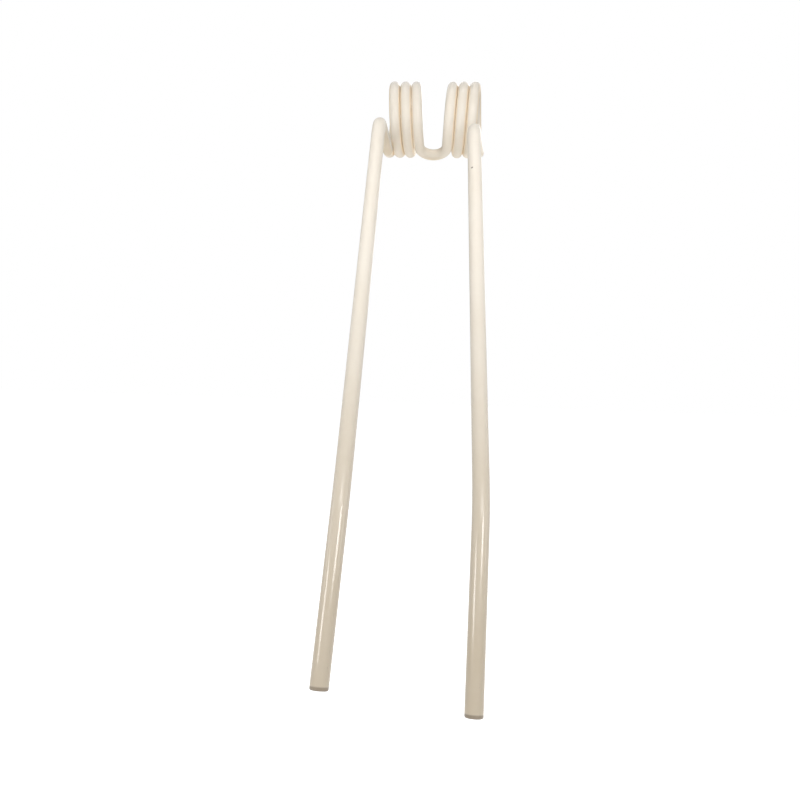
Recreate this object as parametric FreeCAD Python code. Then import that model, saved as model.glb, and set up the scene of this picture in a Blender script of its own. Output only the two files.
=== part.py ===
import FreeCAD, Part

import math
import os

from FreeCAD import Vector

# Double rake tine, bent from one length of painted spring wire (millimetres)
#
# A bolt loop sits in the middle. On each side of it the wire winds a close coil,
# leaves the coil as a straight lead, bends down at the knee into the upper arm
# and bends a little more into the lower arm, which ends in a chamfered tip.
#
# Frame: +X along the coils' common axis, +Z up, and the arms reach towards -Y
# and down. The origin is on the coil axis, midway between the coils.

# Wire
wire_diameter = 9.5
tip_chamfer = 0.9

# Coils and the loop between them
coil_bore = 45.5
turn_gap = 0.2
whole_turns = 3
loop_opening = 15.5
loop_leg = 0.5
loop_angle = 18.0

# Lead from each coil to its knee
lead_drop_angle = 12.3
lead_inset_angle = 2.95
lead_inset_radius = 60.0
lead_run = 140.0
knee_inner_radius = 19.0

# Arms, their leans measured from the vertical
upper_arm_run = 277.0
upper_arm_lean = 28.3
arm_splay = 0.55
lower_bend_inner_radius = 145.0
lower_arm_lean = 17.0
lower_arm_run_left = 99.5
lower_arm_run_right = 104.0

# Small sets that the wire keeps from its forming, each half of the difference between the sides
winding_set_angle = 0.8
upper_arm_set_angle = 1.2
lower_arm_set_angle = 1.3

# Worked out from the sizes above
wire_radius = wire_diameter / 2
coil_radius = coil_bore / 2 + wire_radius
coil_pitch = wire_diameter + turn_gap
coil_slope = math.atan2(coil_pitch, 2 * math.pi * coil_radius)
loop_half_width = (loop_opening + wire_diameter) / 2
coil_start_x = loop_half_width + loop_leg * math.sin(coil_slope)
knee_radius = knee_inner_radius + wire_radius
lower_bend_radius = lower_bend_inner_radius + wire_radius
RIGHT = 1
LEFT = -1


def drop_angle(side):
    """Drop of the lead below the level. The right half is wound a little less far."""
    return lead_drop_angle + side * winding_set_angle


def coil_end_angle(side):
    """Winding angle at which the wire leaves the coil."""
    return 360.0 * whole_turns - drop_angle(side)


def coil_x(angle):
    """Distance of the coil's centre line from the middle at a winding angle."""
    return coil_start_x + coil_pitch * (angle - loop_angle) / 360.0


def coil_point(angle, side):
    """Point on the coil's centre line. Angle 0 is the bottom, and 90 is the front."""
    turn = math.radians(angle)
    return Vector(
        side * coil_x(angle),
        -coil_radius * math.sin(turn),
        -coil_radius * math.cos(turn),
    )


def coil_heading(angle, side):
    """Unit direction in which the winding runs, away from the loop."""
    turn = math.radians(angle)
    along = math.cos(coil_slope)
    return Vector(
        side * math.sin(coil_slope),
        -along * math.cos(turn),
        along * math.sin(turn),
    )


def arm_heading(lean, outward, side):
    """Unit direction down an arm. Lean is towards -Y, outward is away from the middle."""
    lean = math.radians(lean - side * winding_set_angle)
    outward = math.radians(outward)
    return Vector(
        side * math.sin(outward),
        -math.cos(outward) * math.sin(lean),
        -math.cos(outward) * math.cos(lean),
    )


def lead_heading(side):
    """Unit direction of the lead: level apart from its drop, and a little inwards."""
    inset = math.radians(lead_inset_angle)
    drop = math.radians(drop_angle(side))
    return Vector(
        -side * math.sin(inset),
        -math.cos(inset) * math.cos(drop),
        -math.cos(inset) * math.sin(drop),
    )


def upper_arm_heading(side):
    """Both upper arms are set a little to the right."""
    return arm_heading(upper_arm_lean, arm_splay + side * upper_arm_set_angle, side)


def lower_arm_heading(side):
    """Both lower arms are set a little to the left."""
    return arm_heading(lower_arm_lean, arm_splay - side * lower_arm_set_angle, side)


def bend_edge(start, heading, new_heading, radius):
    """Arc that turns the wire from one heading to the next, with its end point."""
    angle = heading.getAngle(new_heading)
    inward = new_heading - heading * math.cos(angle)
    inward.normalize()

    def along(turn):
        return start + heading * (radius * math.sin(turn)) + inward * (radius * (1 - math.cos(turn)))

    end = along(angle)
    return Part.Arc(start, along(angle / 2), end).toShape(), end


def bend_tangent(heading, new_heading, radius):
    """Length that a bend takes from each of the two straights that it joins."""
    return radius * math.tan(heading.getAngle(new_heading) / 2)


def coil_edge(side):
    """Helix from the loop's leg round to the lead, drawn as a line on a cylinder."""
    cylinder = Part.Cylinder()
    cylinder.Radius = coil_radius
    cylinder.transform(FreeCAD.Placement(Vector(), Vector(0, 1, 0), side * 90).toMatrix())
    zero = cylinder.value(0, 0)
    quarter = cylinder.value(math.pi / 2, 0)

    def parameter(angle):
        point = coil_point(angle, side)
        flat = Vector(0, point.y, point.z)
        return math.atan2(flat.dot(quarter), flat.dot(zero))

    first = parameter(loop_angle)
    step = parameter(loop_angle + 1) - first
    turning = 1 if math.sin(step) > 0 else -1
    last = first + turning * math.radians(coil_end_angle(side) - loop_angle)
    line = Part.Geom2d.Line2dSegment(
        FreeCAD.Base.Vector2d(first, coil_x(loop_angle)),
        FreeCAD.Base.Vector2d(last, coil_x(coil_end_angle(side))),
    )
    return line.toShape(cylinder)


def half_path(side, lower_run):
    """Centre line of one half, as edges in order from the loop's leg to the tip."""
    edges = [coil_edge(side)]

    # The wire straightens out of the coil and turns inwards
    coil_end = coil_point(coil_end_angle(side), side)
    winding = coil_heading(coil_end_angle(side), side)
    lead = lead_heading(side)
    edge, lead_start = bend_edge(coil_end, winding, lead, lead_inset_radius)
    edges.append(edge)

    # Lead and knee
    upper = upper_arm_heading(side)
    knee_corner = lead_start + lead * lead_run
    knee_cut = bend_tangent(lead, upper, knee_radius)
    knee_start = knee_corner - lead * knee_cut
    edges.append(Part.makeLine(lead_start, knee_start))
    edge, upper_start = bend_edge(knee_start, lead, upper, knee_radius)
    edges.append(edge)

    # Upper arm and lower arm
    lower = lower_arm_heading(side)
    arm_corner = knee_corner + upper * upper_arm_run
    arm_cut = bend_tangent(upper, lower, lower_bend_radius)
    bend_start = arm_corner - upper * arm_cut
    edges.append(Part.makeLine(upper_start, bend_start))
    edge, lower_start = bend_edge(bend_start, upper, lower, lower_bend_radius)
    edges.append(edge)
    tip = arm_corner + lower * lower_run
    edges.append(Part.makeLine(lower_start, tip))
    return edges


def loop_edges():
    """The bolt loop: a short leg on each side and a round end between them."""
    edges = []
    ends = []
    for side in (LEFT, RIGHT):
        start = coil_point(loop_angle, side)
        end = start - coil_heading(loop_angle, side) * loop_leg
        edges.append(Part.makeLine(start, end))
        ends.append(end)
    left_end, right_end = ends
    radius = right_end.x / math.cos(coil_slope)
    turn = math.radians(loop_angle)
    outward = Vector(0, math.cos(turn), -math.sin(turn))
    centre = (left_end + right_end) / 2 - outward * (radius * math.sin(coil_slope))
    edges.insert(1, Part.Arc(left_end, centre + outward * radius, right_end).toShape())
    return edges


def chamfer_tips(solid):
    """Break the sharp rim of both cut ends, which are the only flat faces."""
    rims = []
    for face in solid.Faces:
        if isinstance(face.Surface, Part.Plane):
            rims.extend(face.Edges)
    return solid.makeChamfer(tip_chamfer, rims)


def rake_tine():
    """The whole tine: one round section swept along one centre line."""
    left = half_path(LEFT, lower_arm_run_left)
    right = half_path(RIGHT, lower_arm_run_right)
    path = Part.Wire(list(reversed(left)) + loop_edges() + right)
    left_tip = path.OrderedVertexes[0].Point
    section = Part.Wire(Part.Circle(left_tip, lower_arm_heading(LEFT), wire_radius).toShape())
    return chamfer_tips(path.makePipeShell([section], True, False))


os.makedirs("parts", exist_ok=True)
rake_tine().exportStep("parts/rake_tine.step")
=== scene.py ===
# %% [markdown]
# # A double rake tine
# This part rakes hay. It is one length of spring wire, 9.5 mm thick and about two
# metres long, bent cold and then painted cream. In the middle is a small loop for a
# clamp bolt. On each side of it the wire winds a close coil, runs forward as a lead,
# turns down at the knee and ends in a long arm.
#
# The CAD model already has the right shape, but its surface is made of coarse flat
# facets. The cells below keep its sizes and give the wire a smooth skin, real paint
# and the light of a studio.

# %% Load the frame
import math

import bmesh
import bpy
from mathutils import Matrix, Vector


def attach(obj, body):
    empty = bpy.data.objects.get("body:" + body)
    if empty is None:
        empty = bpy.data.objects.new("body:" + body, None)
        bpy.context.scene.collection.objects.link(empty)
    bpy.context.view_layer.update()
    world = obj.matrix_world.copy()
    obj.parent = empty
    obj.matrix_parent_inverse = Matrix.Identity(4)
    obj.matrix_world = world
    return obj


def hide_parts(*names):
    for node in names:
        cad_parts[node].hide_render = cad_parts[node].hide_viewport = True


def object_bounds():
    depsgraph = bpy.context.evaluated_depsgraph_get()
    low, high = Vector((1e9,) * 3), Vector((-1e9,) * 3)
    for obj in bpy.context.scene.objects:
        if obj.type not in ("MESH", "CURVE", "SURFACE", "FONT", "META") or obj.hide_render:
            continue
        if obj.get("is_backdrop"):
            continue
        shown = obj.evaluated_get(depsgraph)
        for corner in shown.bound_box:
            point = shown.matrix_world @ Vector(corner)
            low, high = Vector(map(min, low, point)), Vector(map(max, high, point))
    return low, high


mm = 0.001


def in_mm(vector):
    """A vector in millimetres, rounded for printing."""
    return [round(value / mm, 1) for value in vector]


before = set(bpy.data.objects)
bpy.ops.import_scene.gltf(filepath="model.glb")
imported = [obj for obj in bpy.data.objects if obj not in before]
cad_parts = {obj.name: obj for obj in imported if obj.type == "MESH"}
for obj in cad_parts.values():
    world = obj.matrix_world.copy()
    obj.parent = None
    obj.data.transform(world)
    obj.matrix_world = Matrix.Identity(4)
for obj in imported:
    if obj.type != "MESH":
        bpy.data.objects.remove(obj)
cad_low, cad_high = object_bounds()
print("CAD box", in_mm(cad_high - cad_low), "mm")

# %% [markdown]
# ## The sizes of the wire
# These are the sizes that the CAD model was drawn with, in millimetres and degrees.
# Blender works in metres, so one number, `mm`, turns the first into the second. The
# skin is drawn three hundredths of a millimetre thinner than the wire, and a tenth
# shorter at each tip, which keeps it inside the CAD model's box.

# %% Sizes
wire_radius = 4.72 * mm
tip_rounding = 0.9 * mm
coil_radius = 27.5 * mm
coil_pitch = 9.7 * mm
whole_turns = 3
loop_half_width = 12.5 * mm
loop_leg = 0.5 * mm
loop_angle = 18.0
lead_drop = 12.3
lead_inset = 2.95
lead_inset_radius = 60.0 * mm
lead_run = 140.0 * mm
knee_radius = 23.75 * mm
upper_arm_run = 277.0 * mm
upper_arm_lean = 28.3
lower_bend_radius = 149.75 * mm
lower_arm_lean = 17.0
arm_splay = 0.55
winding_set = 0.8
upper_arm_set = 1.2
lower_arm_set = 1.3
RIGHT = 1
LEFT = -1
lower_arm_run = {LEFT: 99.4 * mm, RIGHT: 103.9 * mm}

coil_slope = math.atan2(coil_pitch, 2 * math.pi * coil_radius)
print("the coil climbs at", round(math.degrees(coil_slope), 2), "degrees")

# %% [markdown]
# ## Directions along the wire
# A bent wire is easiest to describe by the way it points at each place. The coils
# share one axis, X. Winding angle 0 is at the bottom of a coil and 90 at its front.
# The right half of the real part is wound a little less far than the left, and its
# arms have kept a small sideways set, so most directions depend on the side.


# %% Directions
def winding_heading(angle, side):
    """Direction in which the wire runs at a winding angle."""
    turn = math.radians(angle)
    along = math.cos(coil_slope)
    return Vector((side * math.sin(coil_slope), -along * math.cos(turn), along * math.sin(turn)))


def drop_angle(side):
    """How far the lead points below the level."""
    return lead_drop + side * winding_set


def lead_heading(side):
    """Direction of the lead: forward, a little down and a little inwards."""
    inset = math.radians(lead_inset)
    drop = math.radians(drop_angle(side))
    level = math.cos(inset)
    return Vector((-side * math.sin(inset), -level * math.cos(drop), -level * math.sin(drop)))


def arm_heading(lean, outward, side):
    """Direction down an arm, from its forward lean and its angle away from the middle."""
    lean = math.radians(lean - side * winding_set)
    outward = math.radians(outward)
    down = math.cos(outward)
    return Vector((side * math.sin(outward), -down * math.sin(lean), -down * math.cos(lean)))


def upper_heading(side):
    """Direction of an upper arm. Both are set a little to the right."""
    return arm_heading(upper_arm_lean, arm_splay + side * upper_arm_set, side)


def lower_heading(side):
    """Direction of a lower arm. Both are set a little to the left."""
    return arm_heading(lower_arm_lean, arm_splay - side * lower_arm_set, side)


for side, name in ((LEFT, "left"), (RIGHT, "right")):
    knee_turn = math.degrees(lead_heading(side).angle(upper_heading(side)))
    print(name, "knee turns", round(knee_turn, 1), "degrees")

# %% [markdown]
# ## A wire former
# A spring shop makes this part on a former: rollers feed the wire, and pins bend it
# or wind it round a mandrel. A curve with a round bevel could give the same tube, but
# its rings can twist, and its bends are only as true as its handles. The mesh can be
# formed as the wire is instead. The former holds the ring of edges at the wire's end.
# Feeding extrudes that ring straight ahead, bending spins it about a point beside the
# wire, and winding spins it about the coil's axis while it slides along.


# %% The former
class Former:
    """Holds the open end of the wire, and makes more wire from it."""

    def __init__(self, mesh, ring, point, heading):
        self.mesh = mesh
        self.ring = ring
        self.point = point.copy()
        self.heading = heading.normalized()

    def _spin(self, centre, axis, angle, steps, slide):
        corners = list({corner for edge in self.ring for corner in edge.verts})
        made = bmesh.ops.spin(
            self.mesh, geom=corners + self.ring, cent=centre, axis=axis, dvec=slide,
            angle=angle, steps=steps, use_merge=False, use_duplicate=False,
        )
        self.ring = [item for item in made["geom_last"] if isinstance(item, bmesh.types.BMEdge)]

    def feed(self, run, steps=1):
        """Push out a straight length."""
        for _ in range(steps):
            made = bmesh.ops.extrude_edge_only(self.mesh, edges=self.ring)["geom"]
            corners = {item for item in made if isinstance(item, bmesh.types.BMVert)}
            edges = [item for item in made if isinstance(item, bmesh.types.BMEdge)]
            self.ring = [edge for edge in edges if all(corner in corners for corner in edge.verts)]
            bmesh.ops.translate(self.mesh, verts=list(corners), vec=self.heading * (run / steps))
        self.point += self.heading * run

    def bend(self, new_heading, radius, steps):
        """Turn the wire to a new heading round a pin."""
        angle = self.heading.angle(new_heading)
        inward = (new_heading - self.heading * math.cos(angle)).normalized()
        centre = self.point + inward * radius
        self._spin(centre, self.heading.cross(inward), angle, steps, Vector())
        ahead = self.heading * (radius * math.sin(angle))
        self.point = centre + ahead - inward * (radius * math.cos(angle))
        self.heading = new_heading.normalized()

    def wind(self, start, end, side):
        """Wind from one winding angle to another round the coil's axis."""
        steps = round(rings_per_turn * (end - start) / 360)
        advance = side * coil_pitch * (end - start) / 360
        slide = Vector((advance / steps, 0, 0))
        self._spin(Vector(), Vector((-1, 0, 0)), math.radians(end - start), steps, slide)
        turn = math.radians(end)
        self.point.x += advance
        self.point.y = -coil_radius * math.sin(turn)
        self.point.z = -coil_radius * math.cos(turn)
        self.heading = winding_heading(end, side)


def bend_cut(heading, new_heading, radius):
    """Length that a bend takes from each of the straights that it joins."""
    return radius * math.tan(heading.angle(new_heading) / 2)


print("the former can feed, bend and wind")

# %% [markdown]
# ## How finely the wire is divided
# A wire looks round when its outline shows no corners. Two numbers decide that: how
# many sides its section has, and how many rings follow each other round a bend. The
# tight bends and the coils get the most, and a straight needs few.

# %% Divisions
sides_round = 48
rings_per_turn = 72
loop_steps = 24
straightening_steps = 6
lead_steps = 8
knee_steps = 20
upper_arm_steps = 16
lower_bend_steps = 10
lower_arm_steps = 6
rounding_steps = 5
print("a coil of", whole_turns, "turns has", whole_turns * rings_per_turn, "rings")

# %% [markdown]
# ## The middle of the bolt loop
# Both halves start from one ring in the middle of the bolt loop, so the loop has no
# seam. Its place follows from the coils: the loop's legs leave them in the wire's own
# direction, and the round end joins the legs.

# %% Loop
loop_turn = math.radians(loop_angle)
loop_out = Vector((0, math.cos(loop_turn), -math.sin(loop_turn)))
loop_start = Vector((0, -coil_radius * math.sin(loop_turn), -coil_radius * math.cos(loop_turn)))
leg_back = winding_heading(loop_angle, RIGHT) * loop_leg
leg_end = loop_start + Vector((loop_half_width + leg_back.x, 0, 0)) - leg_back
loop_radius = leg_end.x / math.cos(coil_slope)
loop_centre = Vector((0, leg_end.y, leg_end.z)) - loop_out * (loop_radius * math.sin(coil_slope))
loop_middle = loop_centre + loop_out * loop_radius
print("middle of the loop at", in_mm(loop_middle), "mm")

# %% [markdown]
# ## One half after the other
# The first ring is a plain circle turned to face along X. From there each half bends
# round the loop, winds its coil, straightens into the lead, bends at the knee, and
# bends once more, gently, where the upper arm becomes the lower arm.

# %% Form the wire
tip_points = {}


def form_half(mesh, ring, side):
    """Everything from the middle of the loop to one tip. Gives the ring at the tip."""
    lead, upper, lower = lead_heading(side), upper_heading(side), lower_heading(side)
    knee_cut = bend_cut(lead, upper, knee_radius)
    arm_cut = bend_cut(upper, lower, lower_bend_radius)

    wire = Former(mesh, ring, loop_middle, Vector((side, 0, 0)))
    wire.bend(winding_heading(loop_angle, side), loop_radius, loop_steps)
    wire.feed(loop_leg)
    wire.wind(loop_angle, 360 * whole_turns - drop_angle(side), side)
    wire.bend(lead, lead_inset_radius, straightening_steps)
    wire.feed(lead_run - knee_cut, lead_steps)
    wire.bend(upper, knee_radius, knee_steps)
    wire.feed(upper_arm_run - knee_cut - arm_cut, upper_arm_steps)
    wire.bend(lower, lower_bend_radius, lower_bend_steps)
    wire.feed(lower_arm_run[side] - arm_cut, lower_arm_steps)
    tip_points[side] = wire.point.copy()
    print("tip at", in_mm(wire.point), "mm")
    return wire.ring


tine = bmesh.new()
circle = bmesh.ops.create_circle(tine, cap_ends=False, radius=wire_radius, segments=sides_round)
facing_x = Matrix.Translation(loop_middle) @ Matrix.Rotation(math.radians(90), 4, "Y")
bmesh.ops.transform(tine, matrix=facing_x, verts=circle["verts"])
first_ring = list(tine.edges)
tip_rings = [form_half(tine, first_ring, side) for side in (LEFT, RIGHT)]
print("faces so far", len(tine.faces))

# %% [markdown]
# ## The tips
# A shear cuts the wire off square, and a tumbling drum or a wheel takes the sharp rim
# away before painting. Here a face closes each end, and a bevel rounds its rim.

# %% Close and round the tips
rims = []
for ring in tip_rings:
    bmesh.ops.contextual_create(tine, geom=ring)
    rims.extend(ring)
bmesh.ops.bevel(
    tine, geom=rims, offset=tip_rounding, offset_type="OFFSET", segments=rounding_steps,
    profile=0.5, affect="EDGES", clamp_overlap=True, material=-1,
)
bmesh.ops.recalc_face_normals(tine, faces=tine.faces)
open_edges = sum(1 for edge in tine.edges if not edge.is_manifold)
print("volume", round(tine.calc_volume() / mm ** 3), "mm3, open edges", open_edges)

# %% [markdown]
# ## From a bmesh to a piece
# The bmesh becomes a mesh on an object at the origin. The object rides on the part's
# one body, stands for its CAD solid, and takes its finish from the paint.

# %% The piece
wire_mesh = bpy.data.meshes.new("tine_wire")
tine.to_mesh(wire_mesh)
tine.free()
wire_mesh.polygons.foreach_set("use_smooth", [True] * len(wire_mesh.polygons))
wire_object = bpy.data.objects.new("tine_wire", wire_mesh)
bpy.context.scene.collection.objects.link(wire_object)
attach(wire_object, "root")
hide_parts("rake_tine")
print("the wire has", len(wire_mesh.polygons), "faces")

# %% [markdown]
# ## Writing a material as sums
# A material is a net of small nodes. Two helpers keep it readable. `Amount` wraps a
# number that leaves a node, and lets it stand in an ordinary sum. `Finish.node` adds
# any other node from its type, its settings and what goes into it.


# %% Helpers for materials
class Amount:
    """A number that comes out of a node and can be used in a sum."""

    def __init__(self, finish, socket):
        self.finish = finish
        self.socket = socket

    def __add__(self, other):
        return self.finish.math("ADD", self, other)

    def __sub__(self, other):
        return self.finish.math("SUBTRACT", self, other)

    def __rsub__(self, other):
        return self.finish.math("SUBTRACT", other, self)

    def __mul__(self, other):
        return self.finish.math("MULTIPLY", self, other)

    __radd__ = __add__
    __rmul__ = __mul__


class Finish:
    """Adds nodes to one node tree."""

    def __init__(self, tree):
        tree.nodes.clear()
        self.tree = tree

    def node(self, kind, settings=None, values=None):
        """Any node, from its type, its settings, and the values or links of its sockets."""
        made = self.tree.nodes.new(kind)
        for name, setting in (settings or {}).items():
            setattr(made, name, setting)
        for name, value in (values or {}).items():
            if isinstance(value, Amount):
                value = value.socket
            if isinstance(value, bpy.types.NodeSocket):
                self.tree.links.new(value, made.inputs[name])
            else:
                made.inputs[name].default_value = value
        return made

    def amount(self, made, output=0):
        """A node's output as a number for sums."""
        return Amount(self, made.outputs[output])

    def math(self, operation, first, second=0.0):
        """The result of a Math node."""
        made = self.node("ShaderNodeMath", {"operation": operation}, {0: first, 1: second})
        return self.amount(made)

    def vector(self, operation, first, second=(0.0, 0.0, 0.0)):
        """A Vector Math node. Its outputs are Vector and Value."""
        return self.node("ShaderNodeVectorMath", {"operation": operation}, {0: first, 1: second})

    def fade(self, value, start, end):
        """Rises smoothly from 0 to 1 as the value goes from start to end."""
        limits = {"Value": value, "From Min": start, "From Max": end}
        made = self.node("ShaderNodeMapRange", {"interpolation_type": "SMOOTHSTEP"}, limits)
        return self.amount(made)

    def clouds(self, at, scale, detail, roughness=0.5):
        """Soft random clouds, mostly between 0.3 and 0.7."""
        values = {"Vector": at, "Scale": scale, "Detail": detail, "Roughness": roughness}
        return self.amount(self.node("ShaderNodeTexNoise", {}, values), "Fac")

    def cover(self, under, over, mask):
        """One colour laid over another, as much as the mask says."""
        values = {"Factor": mask, "A": under, "B": over}
        return self.node("ShaderNodeMix", {"data_type": "RGBA"}, values).outputs["Result"]

    def seen_directly(self):
        """1 for rays from the camera, a mirror or glass, and 0 for rays that only give light."""
        ray = self.node("ShaderNodeLightPath")
        mirrored = self.math("MAXIMUM", ray.outputs["Is Camera Ray"], ray.outputs["Is Glossy Ray"])
        return self.math("MAXIMUM", mirrored, ray.outputs["Is Transmission Ray"])


print("helpers ready")

# %% [markdown]
# ## Places on the wire
# Held close, the paint isn't one flat colour, and it changes with the place: a coil and
# an arm each look a little different, and the undersides are painted with shade. A mask
# is a number from 0 to 1 that says how much a point belongs to such a place. The masks
# read the object's own coordinates and the way the surface faces, so they stay with the
# wire from whatever side it is seen.

# %% Places
paint = bpy.data.materials.new("cream_paint")
paint.use_nodes = True
mix = Finish(paint.node_tree)
place = mix.node("ShaderNodeTexCoord").outputs["Object"]
parts = mix.node("ShaderNodeSeparateXYZ", {}, {"Vector": place})
sideways, reach, height_above = (mix.amount(parts, axis) for axis in ("X", "Y", "Z"))
outward = mix.math("ABSOLUTE", sideways)

across_axis = mix.vector("MULTIPLY", place, (0.0, 1.0, 1.0)).outputs["Vector"]
axis_gap = mix.vector("LENGTH", across_axis).outputs["Value"]
in_coil = mix.fade(axis_gap, start=35.0 * mm, end=32.5 * mm)
on_arm = mix.fade(reach, start=-112 * mm, end=-134 * mm)

normal = mix.node("ShaderNodeNewGeometry").outputs["Normal"]
facing_up = mix.amount(mix.node("ShaderNodeSeparateXYZ", {}, {"Vector": normal}), "Z")
underside = mix.fade(facing_up, start=-0.25, end=-0.65)
# Painted shade: the undersides of the leads and the low side of each coil.
lead_underside_shade = (1 - in_coil) * (1 - on_arm) * underside
coil_underside_shade = in_coil * mix.fade(height_above, start=-12 * mm, end=-30 * mm)
print("masks for coils, arms and undersides")

# %% [markdown]
# ## The cream film and its painted shade
# The film is pale on the upper arms. Towards the tips, under the leads and on the low
# side of each coil it is painted darker and yellower, as painted shade, and the coils
# are a touch yellower all over. Clouds of two sizes vary the tone at random and break
# the change up, because a smooth fade looks printed.

# %% Film
thin_film = (0.872, 0.815, 0.725, 1.0)
darker_tone_and_shade = (0.700, 0.590, 0.435, 1.0)
tone_offset = -0.05
patch_scale = 28.0
grain_scale = 420.0

patches = mix.clouds(place, patch_scale, detail=3.0, roughness=0.6)
grain = mix.clouds(place, grain_scale, detail=2.0)
# Painted shade: the film gets darker and yellower towards the tips.
tip_shade = mix.fade(height_above, start=-150 * mm, end=-400 * mm)
tone_and_shade_mix = patches * 0.30 + grain * 0.10 + tone_offset
tone_and_shade_mix = tone_and_shade_mix + tip_shade * 0.75 + lead_underside_shade * 0.75
tone_and_shade_mix = tone_and_shade_mix + coil_underside_shade * 0.15 + in_coil * 0.06
film = mix.cover(thin_film, darker_tone_and_shade, tone_and_shade_mix)
print("film from", thin_film[:3], "to", darker_tone_and_shade[:3])

# %% [markdown]
# ## Painted shade in the grooves
# Where two turns touch, the groove between them gets a warm line of painted shade.
# The groove is a helix. Going round the coil by one turn moves it out by one pitch,
# so the distance out, counted in turns, less the angle, also counted in turns, is the
# same number all along the wire's centre. A groove lies half a turn from it. The loop
# and its legs have no neighbour, so the line fades out before them.

# %% Grooves
groove_shade_colour = (0.930, 0.790, 0.600, 1.0)
groove_strength = 0.9
coil_start = loop_half_width + loop_leg * math.sin(coil_slope)

angle_round = mix.math("ARCTAN2", reach * -1.0, height_above * -1.0)
turned = angle_round * (1 / (2 * math.pi)) - loop_angle / 360
turns_out = (outward - coil_start) * (1 / coil_pitch) - turned
from_groove = mix.math("ABSOLUTE", mix.math("FRACT", turns_out) - 0.5)
past_loop = mix.fade(outward, start=12.5 * mm, end=16.0 * mm)
# Painted shade: a warm, darker line along each groove between the turns.
groove = in_coil * mix.fade(from_groove, start=0.20, end=0.02) * past_loop
film = mix.cover(film, groove_shade_colour, groove * groove_strength)
print("the first groove starts", round(coil_start / mm, 1), "mm from the middle")

# %% [markdown]
# ## Dust and one dark speck
# Here and there a grain of dust sits in the film. A Voronoi pattern scatters points
# through space, and only those that the thin wire happens to pass leave a mark, which
# keeps them rare. One larger dark speck has its own place on the right upper arm.

# %% Dust and speck
dust_grey = (0.42, 0.37, 0.30, 1.0)
dust_scale = 95.0
dust_strength = 0.45
speck_grey = (0.20, 0.17, 0.14, 1.0)
speck_place = (0.03275, -0.15923, -0.09491)
speck_strength = 0.85

points = {"Vector": place, "Scale": dust_scale, "Randomness": 1.0}
from_grain = mix.node("ShaderNodeTexVoronoi", {"feature": "F1"}, points).outputs["Distance"]
dust_limits = {
    "Value": from_grain, "From Min": 0.016, "From Max": 0.030,
    "To Min": dust_strength, "To Max": 0.0,
}
dust = mix.amount(mix.node("ShaderNodeMapRange", {}, dust_limits))
film = mix.cover(film, dust_grey, dust)

from_speck = mix.vector("DISTANCE", place, speck_place).outputs["Value"]
speck = mix.fade(from_speck, start=0.95 * mm, end=0.45 * mm)
film = mix.cover(film, speck_grey, speck * speck_strength)
print("speck at", in_mm(speck_place), "mm")

# %% [markdown]
# ## Worn rims at the tips
# The tips knock against everything, so the film is rubbed off their rims and leaves
# brown metal. A dot product with the arm's direction measures how far a point lies
# before its tip, whatever way the arm leans.

# %% Worn rims
rim_brown = (0.26, 0.20, 0.14, 1.0)
rim = 0.0
for side in (LEFT, RIGHT):
    from_tip = mix.vector("SUBTRACT", place, tip_points[side]).outputs["Vector"]
    past_tip = mix.vector("DOT_PRODUCT", from_tip, lower_heading(side)).outputs["Value"]
    same_side = mix.fade(sideways, start=0.0, end=10 * mm * side)
    rim = rim + mix.fade(past_tip, start=-2.4 * mm, end=-1.4 * mm) * same_side
worn_rim = rim * (patches * 0.4 + 0.55)
colour = mix.cover(film, rim_brown, worn_rim)
print("two worn rims")

# %% [markdown]
# ## Orange peel
# Sprayed or dipped paint dries with a faint waviness. Two soft patterns of different
# size make its height, and a bump turns that into slopes too small for real geometry.

# %% Orange peel
peel_scale = 650.0
wave_scale = 110.0
peel_depth = 0.4 * mm
peel_strength = 0.10

peel = mix.clouds(place, peel_scale, detail=1.5, roughness=0.4)
waves = mix.clouds(place, wave_scale, detail=1.0)
height = peel * 0.25 + waves * 0.75
bump = mix.node("ShaderNodeBump", {}, {"Height": height, "Strength": peel_strength, "Distance": peel_depth})
print("peel up to", peel_depth / mm, "mm high before its strength")

# %% [markdown]
# ## Gloss
# The film shines most where hay has rubbed it, on the lower arms, and on the faces of
# the coils. It is duller on undersides and on the flat outer side of the last turn.
# The shader's coat layer carries all of the gloss, because its weight may follow a
# mask, and the layer below is left plain. A full coat everywhere would mirror the
# white room on every flank that is seen at a shallow angle.

# %% Gloss
least_gloss = 0.30
underside_dulling = 0.75
flank_dulling = 0.85
coat_roughness = 0.14
coat_ior = 1.52

coil_face = in_coil * mix.fade(height_above, start=-20 * mm, end=-6 * mm)
rubbed = mix.fade(height_above, start=-140 * mm, end=-270 * mm)
outer_flank = in_coil * mix.fade(turns_out, start=2.15, end=2.35)
under_gloss = 1 - underside * (1 - on_arm) * underside_dulling
flank_gloss = 1 - outer_flank * flank_dulling
gloss = under_gloss * flank_gloss * (rubbed * 0.70 + coil_face * 0.60 + least_gloss)
print("gloss from", least_gloss, "on the leads to 1 on the lower arms")

# %% [markdown]
# ## The paint put together
# Colour, roughness, gloss and bump change over the wire and come in as links. What is
# the same all over is set on the shader's own sockets.

# %% Paint
shader = mix.node(
    "ShaderNodeBsdfPrincipled", {},
    {
        "Base Color": colour,
        "Roughness": patches * 0.20 + 0.40,
        "Specular IOR Level": 0.0,
        "Coat Weight": gloss,
        "Coat Roughness": coat_roughness,
        "Coat IOR": coat_ior,
        "Normal": bump.outputs["Normal"],
    },
)
mix.node("ShaderNodeOutputMaterial", {}, {"Surface": shader.outputs["BSDF"]})
wire_mesh.materials.append(paint)
print("paint has", len(paint.node_tree.nodes), "nodes")

# %% [markdown]
# ## Floor
# The part hangs by its coils in use, so nothing stands on the floor here: the floor
# lies a hand's breadth below the tips. A little glow, which only the camera and
# reflections see, makes it as white as the room, and its grey paint still takes the
# soft shadow.

# %% Floor
floor_level = -0.50
floor_size = 30.0
floor_white = (0.86, 0.86, 0.86, 1)
floor_glow = 0.78
pure_white = (1, 1, 1, 1)

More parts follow.
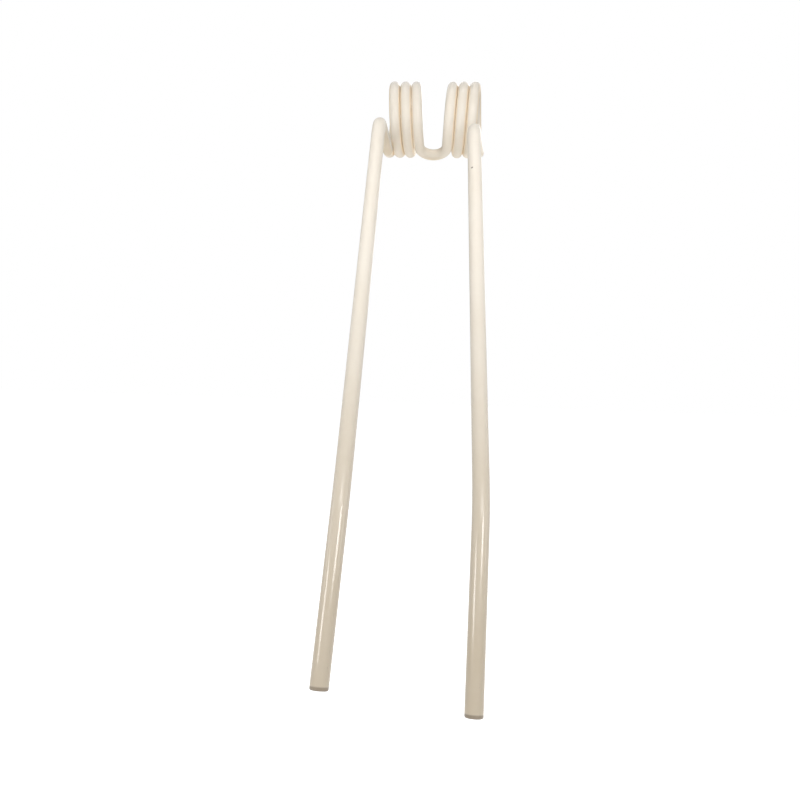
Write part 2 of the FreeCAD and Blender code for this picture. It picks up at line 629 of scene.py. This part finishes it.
ground = bmesh.new()
bmesh.ops.create_grid(ground, x_segments=1, y_segments=1, size=floor_size)
bmesh.ops.translate(ground, verts=ground.verts, vec=Vector((0, 0, floor_level)))
ground_mesh = bpy.data.meshes.new("floor")
ground.to_mesh(ground_mesh)
ground.free()
floor = bpy.data.objects.new("floor", ground_mesh)
bpy.context.scene.collection.objects.link(floor)
floor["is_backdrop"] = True

white_floor = bpy.data.materials.new("white_floor")
white_floor.use_nodes = True
lay = Finish(white_floor.node_tree)
glow_strength = lay.seen_directly() * floor_glow
glow = lay.node("ShaderNodeEmission", {}, {"Color": pure_white, "Strength": glow_strength})
board = lay.node("ShaderNodeBsdfDiffuse", {}, {"Color": floor_white})
both = lay.node("ShaderNodeAddShader", {}, {0: board.outputs[0], 1: glow.outputs[0]})
lay.node("ShaderNodeOutputMaterial", {}, {"Surface": both.outputs[0]})
ground_mesh.materials.append(white_floor)
print("floor", round((cad_low.z - floor_level) / mm), "mm below the tips")

# %% [markdown]
# ## The room
# The world looks white to the camera and in reflections, while the light that it
# gives to the part stays moderate. The lamps can then shape the wire.

# %% World
room_light = 0.34
world = bpy.data.worlds.new("studio")
bpy.context.scene.world = world
world.use_nodes = True
air = Finish(world.node_tree)
sky_strength = air.seen_directly() * (1.0 - room_light) + room_light
sky = air.node("ShaderNodeBackground", {}, {"Color": pure_white, "Strength": sky_strength})
air.node("ShaderNodeOutputWorld", {}, {"Surface": sky.outputs[0]})
print("the room gives", room_light, "of a full white light")

# %% [markdown]
# ## Lamps
# A wide softbox high in front gives most of the light. A grid narrows its beam, which
# is what a lamp's spread angle does, so the coils and upper arms are bright and the
# light fades towards the tips. A low one reaches up to the coils. Two strips, right
# and left of the camera, draw the bright streaks on the lower arms and the highlights
# on the coils. The others stand at the sides, above, behind and below, and light
# what the first camera doesn't see.


# %% Lamps
def soft_lamp(name, place, target, size, power, spread):
    """A rectangular lamp that faces a target. Its size is its width and height."""
    data = bpy.data.lights.new(name, "AREA")
    data.shape = "RECTANGLE"
    data.size, data.size_y = size
    data.energy = power
    data.spread = math.radians(spread)
    lamp = bpy.data.objects.new(name, data)
    lamp.location = place
    lamp.rotation_euler = (Vector(target) - Vector(place)).to_track_quat("-Z", "Y").to_euler()
    bpy.context.scene.collection.objects.link(lamp)


lamps = (
    # name, place, target, size, power, spread
    ("key_softbox", (0.20, -1.0, 0.28), (0.0, -0.10, -0.12), (1.1, 0.3), 0.49, 50),
    ("low_softbox", (-0.02, -0.85, -0.40), (0.0, -0.03, -0.01), (0.5, 0.15), 0.12, 30),
    ("left_softbox", (-1.25, -0.25, 0.05), (0.0, -0.10, -0.02), (0.6, 0.6), 0.15, 40),
    ("right_softbox", (1.25, -0.35, 0.05), (0.0, -0.10, -0.05), (0.6, 0.6), 0.10, 40),
    ("top_softbox", (0.0, -0.43, 1.43), (0.0, -0.15, -0.15), (0.6, 0.6), 0.4, 60),
    ("back_softbox", (0.35, 1.20, 0.45), (0.0, -0.05, -0.05), (0.8, 0.8), 0.5, 50),
    ("under_softbox", (0.0, 0.40, -0.45), (0.0, -0.04, -0.03), (0.4, 0.2), 0.34, 60),
    ("right_strip", (0.42, -0.90, -0.04), (0.0, -0.28, -0.30), (0.28, 0.16), 1.00, 150),
    ("left_strip", (-0.60, -0.80, -0.17), (0.0, -0.28, -0.30), (0.26, 0.14), 0.72, 150),
)
for lamp in lamps:
    soft_lamp(*lamp)
print(len(lamps), "lamps")

# %% [markdown]
# ## Camera
# The photograph was taken from straight in front, level with the middle of the arms,
# about two thirds of a metre from the coils. The camera's place was found together
# with the wire's sizes, by fitting the outline of the wire to the photograph.

# %% Camera
camera_place = (0.02513, -0.63305, -0.25194)
camera_turn = (89.8577, -1.979, 4.2971)

camera_data = bpy.data.cameras.new("camera")
camera_data.lens = 31.5
camera_data.sensor_width = 36.0
camera_data.clip_start = 0.01
camera_data.clip_end = 100.0
camera = bpy.data.objects.new("camera", camera_data)
camera.location = camera_place
camera.rotation_euler = [math.radians(angle) for angle in camera_turn]
bpy.context.scene.collection.objects.link(camera)
bpy.context.scene.camera = camera
bpy.context.scene.view_settings.view_transform = "Standard"
print("camera", round(Vector(camera_place).length, 2), "m from the coils' middle")

# %% [markdown]
# ## Sizes for the record
# The last cell prints the box of what is shown now, so that it can be compared with
# the CAD model's box from the first cell.

# %% Print the visual box
low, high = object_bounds()
print("visual box", in_mm(high - low), "mm")
